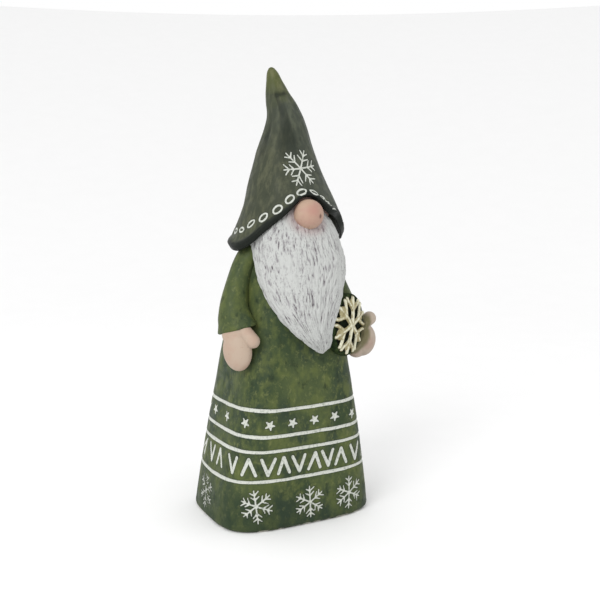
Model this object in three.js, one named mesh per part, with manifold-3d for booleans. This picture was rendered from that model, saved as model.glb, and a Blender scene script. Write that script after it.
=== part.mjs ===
// Tomte gnome figurine: a hollow cast robe closed by a base plate, a head plug that carries the
// pointed hat, the beard and the nose, two sleeves with mitten hands, and a domed snowflake medallion.
// Millimetres, +Z up, front towards -Y. The origin is the centre of the robe's underside.
import * as THREE from 'three';
import { mergeVertices } from 'three/addons/utils/BufferGeometryUtils.js';
import Module from 'manifold-3d';

const wasm = await Module();
wasm.setup();

// ---- driving dimensions ----
const HEIGHT = 250;            // floor to hat tip
const GLUE_GAP = 0.3;          // joint line between neighbouring castings
const FORWARD_LEAN = 0.04;     // the section centres move this far forward for each mm of height

const ROBE = {
  // [height, half size]: a flared skirt up to skirtTop, then a torso that narrows to the shoulders
  halfWidth: [[0, 47.6], [37, 41.8], [74, 34.7], [104, 30.5], [130, 27.6], [150, 24], [155, 20.5], [158, 15]],
  halfDepth: [[0, 36.5], [37, 35.6], [74, 34.2], [104, 30.4], [130, 26.2], [150, 22], [155, 19], [158, 14]],
  skirtTop: 74, shoulderZ: 150, topZ: 158,
  skirtExponent: 3.8, shoulderExponent: 2.2,   // rounded-rectangle section turning into an oval
  hemRadius: 3,
  wall: 5,
  neckHole: 0.72, neckDepth: 3.5,              // opening for the head's spigot, as a share of the section
};
const PLATE = { thickness: 4, sideGap: 0.5, ventRadius: 7, ventY: 16, seatWidth: 2 };
const HEAD = {
  centre: new THREE.Vector3(0.4, -8, 166), radii: new THREE.Vector3(23.5, 23, 37),
  spigotRadius: 9.5, spigotBottom: 150, spigotLength: 20, seatGap: 0.4,
};
const HAT = {
  wall: 4,
  brimFrontZ: 181, brimBackZ: 153.5,
  leftFlip: 5.5,                               // the brim is turned up over the left arm
  chamferInset: 2.4, chamferHeight: 2.7,       // the brim's outer edge is rolled under
  liftTop: 220, liftFade: 1.4,                 // how the brim's rise dies out up the cone
  cavityTop: 226,
};
const NOSE = { centre: new THREE.Vector3(0.2, -34, 172.1), radii: new THREE.Vector3(8.1, 7.7, 8) };
const BEARD = { bottomZ: 98, topZ: 178, behind: 5, exponent: 2.2 };
const MEDALLION = {
  centre: new THREE.Vector3(26, -32.3, 110.1), turn: 30,   // degrees from straight ahead, to the left
  radius: 17.5, rim: 4, rounding: 0.8, dome: 2,
};
const SNOWFLAKE = {
  relief: 1.2, turn: 12.5, reach: 15.4, hubRadius: 3.2,
  stemHalfWidth: 1.8, tipHalfWidth: 1.3,
  forkShare: 0.5,                              // where each arm opens, as a share of its reach
  webLength: 4.3, webHalfWidth: 3.7,
  prongAngle: 44, prongLength: 8.6, prongHalfWidth: 1.1,
};

const COLOUR = {
  robe: 0x5d6b40, base: 0x4c5636, hat: 0x454b3b, skin: 0xd2b49e, nose: 0xcfa48c, beard: 0xd2d4d1,
  medallion: 0x1f2a1d, gilt: 0xd5c995,
};

// ---- small helpers ----
const lerp = THREE.MathUtils.lerp;
const smooth = THREE.MathUtils.smoothstep;
const deg = THREE.MathUtils.degToRad;

/** Smooth curve through [position, value] pairs, read at x. */
function through(stations, x) {
  const last = stations.length - 1;
  if (x <= stations[0][0]) return stations[0][1];
  if (x >= stations[last][0]) return stations[last][1];
  let i = 0;
  while (x > stations[i + 1][0]) i += 1;
  const slope = (k) => {
    const low = Math.max(k - 1, 0);
    const high = Math.min(k + 1, last);
    return (stations[high][1] - stations[low][1]) / (stations[high][0] - stations[low][0]);
  };
  const [x0, y0] = stations[i];
  const [x1, y1] = stations[i + 1];
  const h = x1 - x0;
  const t = (x - x0) / h;
  return (2 * t ** 3 - 3 * t ** 2 + 1) * y0 + (t ** 3 - 2 * t ** 2 + t) * h * slope(i)
    + (3 * t ** 2 - 2 * t ** 3) * y1 + (t ** 3 - t ** 2) * h * slope(i + 1);
}

/** Point of a superellipse outline, in the direction of the given angle from the front (-Y). */
function outlinePoint(angle, halfWidth, halfDepth, exponent) {
  const s = Math.sin(angle);
  const c = -Math.cos(angle);
  const across = Math.abs(s / halfWidth) ** exponent;
  const along = Math.abs(c / halfDepth) ** exponent;
  const reach = (across + along) ** (-1 / exponent);
  return new THREE.Vector2(s * reach, c * reach);
}

/** Moves each vertex of a geometry with place(x, y, z) -> Vector3. */
function warp(geometry, place) {
  const position = geometry.attributes.position;
  for (let i = 0; i < position.count; i += 1) {
    const moved = place(position.getX(i), position.getY(i), position.getZ(i));
    position.setXYZ(i, moved.x, moved.y, moved.z);
  }
  return geometry;
}

/**
 * A turned body whose sections are not round. The profile holds (fraction of the outline, height)
 * pairs, and place(angle, fraction, height) gives the final point.
 */
function turned(profile, segments, place) {
  const points = profile.map(([fraction, height]) => new THREE.Vector2(fraction, height));
  return warp(new THREE.LatheGeometry(points, segments), (x, y, z) => {
    const fraction = Math.hypot(x, z);
    return place(Math.atan2(x, z), fraction, y);
  });
}

/** three.js geometry -> manifold solid, turned right side out if the outline ran the other way. */
function toSolid(geometry) {
  const bare = geometry.clone();
  bare.deleteAttribute('normal');
  bare.deleteAttribute('uv');
  const merged = mergeVertices(bare, 1e-4);
  const index = merged.index.array;
  const position = merged.attributes.position.array;
  const kept = [];
  for (let i = 0; i < index.length; i += 3) {
    const corners = [index[i], index[i + 1], index[i + 2]];
    if (new Set(corners).size === 3) kept.push(...corners);
  }
  let volume = 0;
  for (let i = 0; i < kept.length; i += 3) {
    const [p, q, r] = [0, 1, 2].map((k) => new THREE.Vector3().fromArray(position, 3 * kept[i + k]));
    volume += p.dot(q.cross(r));
  }
  if (volume < 0) {
    for (let i = 0; i < kept.length; i += 3) [kept[i + 1], kept[i + 2]] = [kept[i + 2], kept[i + 1]];
  }
  const mesh = new wasm.Mesh({
    numProp: 3,
    vertProperties: Float32Array.from(position),
    triVerts: Uint32Array.from(kept),
  });
  mesh.merge();
  return new wasm.Manifold(mesh);
}

/** manifold solid -> three.js geometry, keeping the largest body that a cut leaves. */
function toGeometry(solid) {
  const pieces = solid.decompose();
  const largest = pieces.reduce((best, piece) => (piece.volume() > best.volume() ? piece : best));
  const mesh = largest.getMesh();
  const geometry = new THREE.BufferGeometry();
  geometry.setAttribute('position', new THREE.BufferAttribute(mesh.vertProperties, 3));
  geometry.setIndex(new THREE.BufferAttribute(mesh.triVerts, 1));
  geometry.computeVertexNormals();
  return geometry;
}

function cut(solid, ...tools) {
  return tools.reduce((rest, tool) => rest.subtract(tool), solid);
}

// ---- robe ----
function robePoint(angle, fraction, z) {
  const exponent = lerp(ROBE.skirtExponent, ROBE.shoulderExponent, smooth(z, ROBE.skirtTop, ROBE.shoulderZ));
  const edge = outlinePoint(angle, through(ROBE.halfWidth, z), through(ROBE.halfDepth, z), exponent);
  return new THREE.Vector3(fraction * edge.x, fraction * edge.y - FORWARD_LEAN * z, z);
}

/** Fraction of the outline that lies a given distance inside the robe's surface. */
function robeInset(z, distance) {
  return 1 - (2 * distance) / (through(ROBE.halfWidth, z) + through(ROBE.halfDepth, z));
}

const ROBE_SEGMENTS = 72;
const ROBE_LEVELS = [14, 37, 60, 74, 90, 104, 117, 130, 141, ROBE.shoulderZ, 155];
const ROBE_INNER_LEVELS = [150, 130, 104, 74, 37];

/** The robe's full outer form as a solid, grown by a margin: what its neighbours are cut to. */
function robeForm(margin) {
  const profile = [
    [0, -margin],
    ...[0, ...ROBE_LEVELS, ROBE.topZ].map((z) => [robeInset(z, -margin), z]),
    [robeInset(ROBE.topZ, -margin), ROBE.topZ + margin],
    [0, ROBE.topZ + margin],
  ];
  return toSolid(turned(profile, ROBE_SEGMENTS, robePoint));
}

function robeShell() {
  const hemSteps = 3;
  const hem = [];
  for (let i = 0; i <= hemSteps; i += 1) {
    const turn = (i / hemSteps) * (Math.PI / 2);
    const inset = ROBE.hemRadius * (1 - Math.sin(turn));
    hem.push([robeInset(0, inset), ROBE.hemRadius * (1 - Math.cos(turn))]);
  }
  const seat = PLATE.thickness + GLUE_GAP;
  const profile = [
    ...hem,
    ...ROBE_LEVELS.map((z) => [1, z]), [1, ROBE.topZ],
    [ROBE.neckHole, ROBE.topZ], [ROBE.neckHole, ROBE.topZ - ROBE.neckDepth],
    ...ROBE_INNER_LEVELS.map((z) => [robeInset(z, ROBE.wall), z]),
    [robeInset(seat, ROBE.wall + PLATE.seatWidth), seat],
    [robeInset(seat, ROBE.wall), seat],
    [robeInset(0, ROBE.wall), 0],
    hem[0],
  ];
  return toSolid(turned(profile, ROBE_SEGMENTS, robePoint));
}

function basePlate() {
  const outline = new THREE.Shape();
  for (let i = 0; i < ROBE_SEGMENTS; i += 1) {
    const angle = (i / ROBE_SEGMENTS) * 2 * Math.PI;
    const edge = robePoint(angle, robeInset(PLATE.thickness, ROBE.wall + PLATE.sideGap), PLATE.thickness);
    outline[i === 0 ? 'moveTo' : 'lineTo'](edge.x, edge.y + FORWARD_LEAN * PLATE.thickness);
  }
  outline.closePath();
  const vent = new THREE.Path();
  vent.absarc(0, PLATE.ventY, PLATE.ventRadius, 0, 2 * Math.PI, true);
  outline.holes.push(vent);
  const settings = { depth: PLATE.thickness, bevelEnabled: false, curveSegments: 24 };
  return new THREE.ExtrudeGeometry(outline, settings);
}

// ---- hat: a cone with a bent tip and a brim that rises over the nose ----
const HAT_RADIUS = [
  [150, 37.2], [156, 34.8], [160, 32.7], [165, 30.2], [171, 27.6], [178, 25], [185, 22.8], [191.4, 20.6],
  [198, 18.3], [204.6, 16], [211, 13.7], [217.7, 11.4], [224.2, 9.3], [230.6, 7.7], [237.1, 6.2],
  [243.5, 4.2], [248, 2.8], [HEIGHT, 1.5],
];

// The hat's axis: it leans forward over the nose, and the tip flops back to the right.
const HAT_AXIS_X = [
  [150, 0.8], [178, 0.8], [191, 0.2], [206, 0.1], [222, 0.8], [230, -0.6], [238, -3.1], [HEIGHT, -5.6],
];
const HAT_AXIS_Y = [
  [150, -11], [174, -11], [183, -9.6], [191, -8.2], [206, -6.8], [222, -5.6], [236, -3.4], [HEIGHT, -1.5],
];

/** [degrees from the front, height of the brim's edge]: high over the nose, lowest at the shoulders. */
const BRIM_EDGE = [
  [0, HAT.brimFrontZ], [9, HAT.brimFrontZ - 0.8], [16, HAT.brimFrontZ - 3], [30, HAT.brimFrontZ - 8.4],
  [54, HAT.brimFrontZ - 17.4], [70, HAT.brimBackZ + 2.4], [84, HAT.brimBackZ - 1.2],
  [110, HAT.brimBackZ], [180, HAT.brimBackZ],
];

function brimHeight(degrees) {
  const flip = HAT.leftFlip * smooth(degrees, 25, 60) * (1 - smooth(degrees, 70, 120));
  return through(BRIM_EDGE, Math.abs(degrees)) + flip;
}

/** Places a hat vertex: the height is lifted to the brim's edge at the bottom and kept at the top. */
function hatPoint(angle, inset, height) {
  const degrees = THREE.MathUtils.radToDeg(angle);
  const fade = (1 - smooth(height, HAT.brimBackZ, HAT.liftTop)) ** HAT.liftFade;
  const aboveBrim = THREE.MathUtils.clamp(height - HAT.brimBackZ, 0, HAT.chamferHeight);
  const frontOnly = 1 - smooth(Math.abs(degrees), 15, 60);
  const roll = 0.5 * aboveBrim * frontOnly * (1 - smooth(height, HAT.brimBackZ + HAT.chamferHeight, 168));
  const z = height + (brimHeight(degrees) - HAT.brimBackZ) * fade - roll;
  const radius = Math.max(through(HAT_RADIUS, z) - inset, 0);
  const x = through(HAT_AXIS_X, z) + radius * Math.sin(angle);
  const y = through(HAT_AXIS_Y, z) - radius * Math.cos(angle);
  return new THREE.Vector3(x, y, z);
}

const ON_AXIS = 100;           // an inset that reaches the axis at every height
const HAT_SEGMENTS = 56;

/** Turns [inset, height] rows round the hat's axis; the inset is carried in the lathe's radius. */
function hatBody(rows) {
  const profile = rows.map(([inset, height]) => [ON_AXIS - inset, height]);
  const place = (angle, carried, height) => hatPoint(angle, ON_AXIS - carried, height);
  return toSolid(turned(profile, HAT_SEGMENTS, place));
}

const HAT_LEVELS = [159, 164, 171, 178, 185, 192, 200, 208, 216, 224, 231, 237, 243, 247, HEIGHT];
const CAVITY_LEVELS = [222, 212, 200, 188, 176, 165];

/** The hat itself, or, with a margin, the slightly swollen hat that its neighbours are cut to. */
function hatShell(margin = 0) {
  const bottom = HAT.brimBackZ;
  const innerEdge = [HAT.wall + margin, bottom + 0.5];
  return hatBody([
    innerEdge, [HAT.wall - 0.5, bottom - margin],
    [HAT.chamferInset, bottom - margin], [-margin, bottom + HAT.chamferHeight],
    ...HAT_LEVELS.map((z) => [-margin, z]),
    [ON_AXIS, HEIGHT + margin],
    [ON_AXIS, HAT.cavityTop - 2 * margin],
    ...CAVITY_LEVELS.map((z) => [HAT.wall + margin, z]),
    innerEdge,
  ]);
}

/** The hat's hollow, shrunk by a gap and carried on down past the brim: what the head fills. */
function hatHollow(gap) {
  const bottom = HAT.brimBackZ - 50;
  return hatBody([
    [ON_AXIS, bottom], [HAT.wall + gap, bottom],
    ...CAVITY_LEVELS.toReversed().map((z) => [HAT.wall + gap, z]),
    [ON_AXIS, HAT.cavityTop - 2 * gap],
  ]);
}

// ---- head, nose and beard ----
function ellipsoid(centre, radii, widthSegments = 24, heightSegments = 16) {
  const geometry = new THREE.SphereGeometry(1, widthSegments, heightSegments);
  geometry.rotateX(Math.PI / 2);
  geometry.scale(radii.x, radii.y, radii.z);
  geometry.translate(centre.x, centre.y, centre.z);
  return toSolid(geometry);
}

function headSolid() {
  const dome = ellipsoid(HEAD.centre, HEAD.radii, 32, 20);
  const spigot = new THREE.CylinderGeometry(HEAD.spigotRadius, HEAD.spigotRadius, HEAD.spigotLength, 32);
  spigot.rotateX(Math.PI / 2);
  spigot.translate(0, -FORWARD_LEAN * ROBE.topZ, HEAD.spigotBottom + HEAD.spigotLength / 2);
  return cut(dome, robeForm(HEAD.seatGap)).intersect(hatHollow(GLUE_GAP)).add(toSolid(spigot));
}

/** The beard at each height: its half width, middle line, and where its front and side edges stand. */
const BEARD_HALF_WIDTH = [
  [BEARD.bottomZ, 1], [99.5, 3], [101, 4.8], [104, 7.5], [110, 11.7], [118, 17.2], [127, 21.8], [137, 25],
  [147, 26], [156, 25.3], [162, 24], [168, 20.5], [BEARD.topZ, 14],
];
const BEARD_MIDDLE = [
  [BEARD.bottomZ, 4], [99.5, 4.4], [104, 3], [110, 0.7], [118, -0.1], [127, 0], [137, 0.8], [147, 1.4],
  [156, 0.1], [BEARD.topZ, 0.1],
];
const BEARD_FRONT = [
  [BEARD.bottomZ, -43], [99.5, -43.8], [104, -45.4], [112, -46], [127, -45.4], [147, -42.6],
  [160, -38.5], [170, -33.5], [BEARD.topZ, -28],
];
const BEARD_SIDE = [
  [BEARD.bottomZ, -40.8], [99.5, -40.5], [110, -37], [127, -27], [147, -18.5], [160, -16], [BEARD.topZ, -16],
];
const BEARD_LEVELS = [99.5, 101, 103, 106, 110, 115, 121, 127, 134, 141, 148, 155, 162, 168, 173];
const BEARD_TOP_SHARE = 0.9;

function beardPoint(angle, fraction, z, margin) {
  const halfWidth = through(BEARD_HALF_WIDTH, z) + margin;
  const sideY = through(BEARD_SIDE, z);
  const ahead = sideY - through(BEARD_FRONT, z);
  const halfDepth = (Math.cos(angle) > 0 ? ahead : BEARD.behind) + margin;
  const edge = outlinePoint(angle, halfWidth, halfDepth, BEARD.exponent);
  return new THREE.Vector3(through(BEARD_MIDDLE, z) + fraction * edge.x, sideY + fraction * edge.y, z);
}

function beardSolid(margin = 0) {
  const profile = [
    [0, BEARD.bottomZ - margin], [1, BEARD.bottomZ - margin],
    ...BEARD_LEVELS.map((z) => [1, z]),
    [BEARD_TOP_SHARE, BEARD.topZ + margin], [0, BEARD.topZ + margin],
  ];
  return toSolid(turned(profile, 48, (angle, fraction, z) => beardPoint(angle, fraction, z, margin)));
}

// ---- arms ----
/**
 * A flattened tube along a route. Each station gives the centre, the half size along the robe and
 * the half size away from it.
 */
function sleeveSolid({ long, side, stations }) {
  const curve = new THREE.CatmullRomCurve3(stations.map((s) => s.at));
  const count = stations.length - 1;
  const read = (key, t) => through(stations.map((s, i) => [i / count, s[key]]), t);
  const tube = new THREE.CylinderGeometry(1, 1, 1, 28, 9);
  return toSolid(warp(tube, (x, y, z) => {
    const t = 0.5 - y;
    return curve.getPoint(t)
      .addScaledVector(long, x * read('long', t))
      .addScaledVector(side, z * read('side', t));
  }));
}

const at = (x, y, z) => new THREE.Vector3(x, y, z);

const RIGHT_SLEEVE = {
  long: at(0.42, -0.89, 0.3).normalize(),
  side: at(-0.89, -0.42, -0.04).normalize(),
  stations: [
    { at: at(-15, -7.5, 157.5), long: 5, side: 4 },
    { at: at(-21, -8.5, 153), long: 8.6, side: 7.6 },
    { at: at(-30.4, -9.7, 134), long: 7.5, side: 8 },
    { at: at(-35.1, -14, 120), long: 8.5, side: 8.3 },
    { at: at(-34.9, -17.8, 111), long: 12.3, side: 8.3 },
  ],
};
const LEFT_SLEEVE = {
  long: at(-0.3, -0.94, 0.16).normalize(),
  side: at(0.94, -0.3, -0.14).normalize(),
  stations: [
    { at: at(16, -7.5, 157.5), long: 5, side: 4 },
    { at: at(22, -8.5, 153), long: 9.2, side: 7.6 },
    { at: at(27.4, -11, 133), long: 10.6, side: 8 },
    { at: at(32.6, -15, 119), long: 11.8, side: 7.8 },
    { at: at(35.5, -19.5, 109.5), long: 12, side: 7.4 },
  ],
};

/** Frame of a flat piece held upright: x across it, y back from its outer face, z up. */
function uprightFrame(centre, across) {
  const up = at(0, 0, 1);
  return new THREE.Matrix4().makeBasis(across, up.clone().cross(across), up).setPosition(centre);
}

/** A round-ended finger between two points. */
function finger(from, to, radius) {
  const length = from.distanceTo(to);
  const geometry = new THREE.CapsuleGeometry(radius, length, 6, 16);
  const direction = to.clone().sub(from).divideScalar(length);
  geometry.applyQuaternion(new THREE.Quaternion().setFromUnitVectors(at(0, 1, 0), direction));
  const middle = from.clone().lerp(to, 0.5);
  return geometry.translate(middle.x, middle.y, middle.z);
}

/** An egg of flesh: centre, half sizes and a turn in the hand's plane. */
function pad(centre, halfSizes, degrees) {
  const geometry = new THREE.SphereGeometry(1, 24, 16);
  geometry.rotateX(Math.PI / 2);
  geometry.scale(halfSizes.x, halfSizes.y, halfSizes.z);
  geometry.rotateY(deg(degrees));
  return geometry.translate(centre.x, centre.y, centre.z);
}

/** Joins geometries given in a hand's own frame and places them. */
function joined(frame, parts) {
  return parts.map((geometry) => toSolid(geometry.applyMatrix4(frame)))
    .reduce((whole, part) => whole.add(part));
}

const RIGHT_HAND_FRAME = uprightFrame(at(-37, -22, 100.4), at(0.66, -0.75, 0).normalize());

function rightHandSolid(margin = 0) {
  const palm = pad(at(0.6, 0, -0.6), at(8.3, 5.4, 11.3).addScalar(margin), -6);
  const wrist = pad(at(-0.3, 0.8, 8), at(8.5, 4.6, 8).addScalar(margin), 0);
  const thumb = finger(at(5.2, 0, 9.8), at(9.9, -0.4, 5.1), 3.8 + margin);
  return joined(RIGHT_HAND_FRAME, [palm, wrist, thumb]);
}

/** The medallion's own frame: x across it to the left arm, y back from its face, z up. */
function medallionFrame() {
  const turn = deg(MEDALLION.turn);
  return uprightFrame(MEDALLION.centre, at(Math.cos(turn), Math.sin(turn), 0));
}

function leftHandSolid(margin = 0) {
  const palm = pad(at(16.8, 3.6, -11.9), at(12.2, 5.2, 10).addScalar(margin), 22);
  const heel = pad(at(21.8, 2.4, -12.2), at(8.8, 7.1, 9.5).addScalar(margin), 16);
  const thumb = finger(at(18, 2.4, -3.6), at(24.2, -0.4, 0.2), 4 + margin);
  return joined(medallionFrame(), [palm, heel, thumb]);
}

/** Height of the medallion's domed face above its rim plane, at a distance from its centre. */
function domeRise(distance) {
  return MEDALLION.dome * (1 - (distance / MEDALLION.radius) ** 2);
}

function medallionSolid() {
  const { radius, rim, rounding } = MEDALLION;
  const profile = [
    [0, -rim], [radius - rounding, -rim], [radius, -rim + rounding],
    [radius, -rounding], [radius - rounding, domeRise(radius - rounding)],
    ...[0.66, 0.33, 0].map((share) => [share * radius, domeRise(share * radius)]),
  ];
  const lathe = new THREE.LatheGeometry(profile.map(([r, h]) => new THREE.Vector2(r, h)), 48);
  return toSolid(warp(lathe, (x, y, z) => at(x, -y, z)).applyMatrix4(medallionFrame()));
}

/** The room the medallion takes, swept forward: its neighbours stay behind and beside it. */
function medallionSweep() {
  const radius = MEDALLION.radius + GLUE_GAP;
  const back = MEDALLION.rim + GLUE_GAP;
  const ahead = 16;
  const sweep = new THREE.CylinderGeometry(radius, radius, back + ahead, 48);
  sweep.translate(0, (back - ahead) / 2, 0);
  return toSolid(sweep.applyMatrix4(medallionFrame()));
}

/** A tapering bar in the snowflake's plane, from a point outwards. */
function bar(from, angle, length, startHalfWidth, endHalfWidth) {
  const outline = new THREE.Shape();
  outline.moveTo(-startHalfWidth, 0);
  outline.lineTo(-endHalfWidth, length);
  outline.lineTo(endHalfWidth, length);
  outline.lineTo(startHalfWidth, 0);
  outline.closePath();
  const geometry = new THREE.ExtrudeGeometry(outline, { depth: 6, bevelEnabled: false });
  geometry.rotateZ(-angle);
  geometry.translate(from.x, from.y, -2);
  return toSolid(geometry);
}

/** The space under a dome that stands a given lift above the medallion's face. */
function underDome(lift) {
  const floor = -3;
  const reaches = [1.12, 0.75, 0.4, 0].map((share) => share * MEDALLION.radius);
  const rows = [[0, floor], [reaches[0], floor], ...reaches.map((r) => [r, domeRise(r) + lift])];
  const lathe = new THREE.LatheGeometry(rows.map(([r, h]) => new THREE.Vector2(r, h)), 24);
  return toSolid(lathe.rotateX(Math.PI / 2));
}

/** Six forked arms, laid on the dome as one openwork casting. */
function snowflakeSolid() {
  const flake = SNOWFLAKE;
  const hub = new THREE.CylinderGeometry(flake.hubRadius, flake.hubRadius, 6, 12);
  hub.rotateX(Math.PI / 2);
  hub.translate(0, 0, 1);
  let whole = toSolid(hub);
  for (let arm = 0; arm < 6; arm += 1) {
    const angle = deg(flake.turn + 60 * arm);
    const forkDistance = flake.reach * flake.forkShare;
    const fork = new THREE.Vector2(Math.sin(angle), Math.cos(angle)).multiplyScalar(forkDistance);
    whole = whole
      .add(bar(new THREE.Vector2(0, 0), angle, flake.reach, flake.stemHalfWidth, flake.tipHalfWidth))
      .add(bar(fork, angle, flake.webLength, flake.stemHalfWidth, flake.webHalfWidth));
    for (const side of [-1, 1]) {
      const prongAngle = angle + side * deg(flake.prongAngle);
      const half = flake.prongHalfWidth;
      whole = whole.add(bar(fork, prongAngle, flake.prongLength, half, half));
    }
  }
  const layer = whole.intersect(underDome(flake.relief + GLUE_GAP)).subtract(underDome(GLUE_GAP));
  const geometry = warp(toGeometry(layer), (x, y, z) => at(x, -z, y));
  return toSolid(geometry.applyMatrix4(medallionFrame()));
}

// ---- assembly: each casting is cut to its neighbours, leaving the glue line ----
const robeClear = robeForm(GLUE_GAP);
const hatClear = hatShell(GLUE_GAP);
const head = headSolid();
const headClear = ellipsoid(HEAD.centre, HEAD.radii.clone().addScalar(GLUE_GAP), 32, 20);
const noseClear = ellipsoid(NOSE.centre, NOSE.radii.clone().addScalar(GLUE_GAP));
const nose = cut(ellipsoid(NOSE.centre, NOSE.radii), hatClear, robeClear, headClear);
const beard = cut(beardSolid(), robeClear, hatClear, headClear, noseClear);
const beardClear = beardSolid(GLUE_GAP);
const rightHand = cut(rightHandSolid(), robeClear);
const medallion = cut(medallionSolid(), robeClear, beardClear);
const leftHand = cut(leftHandSolid(), robeClear, medallionSweep());
const sleeveNeighbours = [robeClear, hatClear, headClear, beardClear];
const rightSleeve = cut(sleeveSolid(RIGHT_SLEEVE), ...sleeveNeighbours, rightHandSolid(GLUE_GAP));
const leftSleeve = cut(
  sleeveSolid(LEFT_SLEEVE), ...sleeveNeighbours, leftHandSolid(GLUE_GAP), medallionSweep(),
);
const snowflake = cut(snowflakeSolid(), beardClear);

const figurine = new THREE.Group();

function place(name, geometry, color, roughness = 0.85, metalness = 0) {
  const mesh = new THREE.Mesh(geometry, new THREE.MeshStandardMaterial({ color, roughness, metalness }));
  mesh.name = name;
  figurine.add(mesh);
}

place('robe_shell', toGeometry(robeShell()), COLOUR.robe);
place('base_plate', basePlate(), COLOUR.base);
place('head_core', toGeometry(head), COLOUR.skin);
place('hat_shell', toGeometry(hatShell()), COLOUR.hat);
place('beard', toGeometry(beard), COLOUR.beard, 0.9);
place('nose', toGeometry(nose), COLOUR.nose, 0.7);
place('right_sleeve', toGeometry(rightSleeve), COLOUR.robe);
place('left_sleeve', toGeometry(leftSleeve), COLOUR.robe);
place('right_hand', toGeometry(rightHand), COLOUR.skin, 0.75);
place('left_hand', toGeometry(leftHand), COLOUR.skin, 0.75);
place('medallion_disc', toGeometry(medallion), COLOUR.medallion, 0.6);
place('medallion_snowflake', toGeometry(snowflake), COLOUR.gilt, 0.4, 0.8);

export default figurine;
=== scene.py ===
"""Tomte gnome figurine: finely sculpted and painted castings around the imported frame.

Shapes are worked out in millimetres and turned into metres when a mesh becomes a piece.
Angles round the figure run from the front (-Y) and grow towards +X, the figure's left.
"""
import math

import bpy
import numpy as np
from mathutils import Matrix, Vector


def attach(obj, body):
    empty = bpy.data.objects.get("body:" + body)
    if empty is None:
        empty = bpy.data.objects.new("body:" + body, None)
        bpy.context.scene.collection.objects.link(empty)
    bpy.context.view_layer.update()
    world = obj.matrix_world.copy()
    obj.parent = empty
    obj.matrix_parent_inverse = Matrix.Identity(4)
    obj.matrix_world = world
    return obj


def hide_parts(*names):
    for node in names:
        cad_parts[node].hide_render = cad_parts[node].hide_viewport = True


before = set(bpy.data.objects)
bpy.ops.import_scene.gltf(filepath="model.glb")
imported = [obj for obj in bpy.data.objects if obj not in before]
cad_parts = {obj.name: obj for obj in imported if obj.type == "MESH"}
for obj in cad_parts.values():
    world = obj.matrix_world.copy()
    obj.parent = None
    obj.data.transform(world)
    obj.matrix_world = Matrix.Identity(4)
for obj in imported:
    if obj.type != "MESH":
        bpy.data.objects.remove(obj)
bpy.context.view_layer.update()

MM = 0.001
DRAW = np.random.default_rng(24)


# ---- small helpers
def smooth(x, low, high):
    t = np.clip((x - low) / (high - low), 0, 1)
    return t * t * (3 - 2 * t)


def mix(a, b, t):
    return a + (b - a) * t


def bump_at(x, middle, width):
    """A soft hill of height 1."""
    return np.exp(-(((x - middle) / width) ** 2))


def full_turn(count):
    """Angles from back to back, the last one a step short of the first."""
    return np.linspace(-np.pi, np.pi, count, endpoint=False)


def through(stations, x):
    """A smooth curve through (position, value) stations, read at every x."""
    at, value = np.array(stations, float).T
    slope = np.empty(len(at))
    slope[1:-1] = (value[2:] - value[:-2]) / (at[2:] - at[:-2])
    slope[0] = (value[1] - value[0]) / (at[1] - at[0])
    slope[-1] = (value[-1] - value[-2]) / (at[-1] - at[-2])
    x = np.clip(x, at[0], at[-1])
    i = np.clip(np.searchsorted(at, x, "right") - 1, 0, len(at) - 2)
    h = at[i + 1] - at[i]
    t = (x - at[i]) / h
    start = (2 * t**3 - 3 * t**2 + 1) * value[i] + (t**3 - 2 * t**2 + t) * h * slope[i]
    return start + (3 * t**2 - 2 * t**3) * value[i + 1] + (t**3 - t**2) * h * slope[i + 1]


CELLS = 32
LATTICE = DRAW.uniform(-1, 1, (CELLS, CELLS, CELLS))


def noise(points, grain, shift=0.0):
    """Smooth noise between -1 and 1. The grain is in mm, one number or one for each axis."""
    p = np.asarray(points, float) / grain + shift
    low = np.floor(p).astype(int)
    t = p - low
    t = t * t * (3 - 2 * t)
    total = np.zeros(p.shape[:-1])
    for corner in np.ndindex(2, 2, 2):
        i, j, k = np.moveaxis((low + corner) % CELLS, -1, 0)
        weight = np.prod(np.where(corner, t, 1 - t), axis=-1)
        total += weight * LATTICE[i, j, k]
    return total


# ---- meshes
def signed_volume(points, faces):
    a, b, c, d = (points[faces[:, k]] for k in range(4))
    return np.einsum("ij,ij->", a, np.cross(b, c)) + np.einsum("ij,ij->", a, np.cross(c, d))


def set_field(mesh, name, value):
    """Keeps a value on each point of the mesh, for the paint to read."""
    mesh.attributes.new(name, "FLOAT", "POINT").data.foreach_set("value", np.asarray(value, np.float32))


def band_faces(count, around, tube=False):
    """Faces between neighbouring rings, and from a tube's last ring to its first."""
    j = np.arange(around)
    following = (j + 1) % around
    low = np.arange(count if tube else count - 1)[:, None] * around
    high = (low + around) % (count * around)
    return np.stack([low + j, low + following, high + following, high + j], -1).reshape(-1, 4)


def ring_mesh(name, rings, tube=False, fields=None):
    """A closed mesh from rings of points (ring, point, xyz): a tube, or closed in a point at each end."""
    count, around = rings.shape[:2]
    points = rings.reshape(-1, 3)
    faces = band_faces(count, around, tube)
    values = {key: value.ravel() for key, value in (fields or {}).items()}
    if not tube:
        j = np.arange(around)
        following = (j + 1) % around
        first = np.full(around, len(points))
        last, top = first + 1, (count - 1) * around
        points = np.vstack([points, rings[0].mean(0), rings[-1].mean(0)])
        start = np.stack([following, j, first, first], -1)
        end = np.stack([top + j, top + following, last, last], -1)
        faces = np.vstack([faces, start, end])
        values = {key: np.append(value, [value[:around].mean(), value[-around:].mean()])
                  for key, value in values.items()}
    if signed_volume(points, faces) < 0:
        faces = faces[:, ::-1]
    mesh = bpy.data.meshes.new(name)
    mesh.from_pydata(points.tolist(), [], [list(dict.fromkeys(face)) for face in faces.tolist()])
    for key, value in values.items():
        set_field(mesh, key, value)
    return mesh


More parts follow.
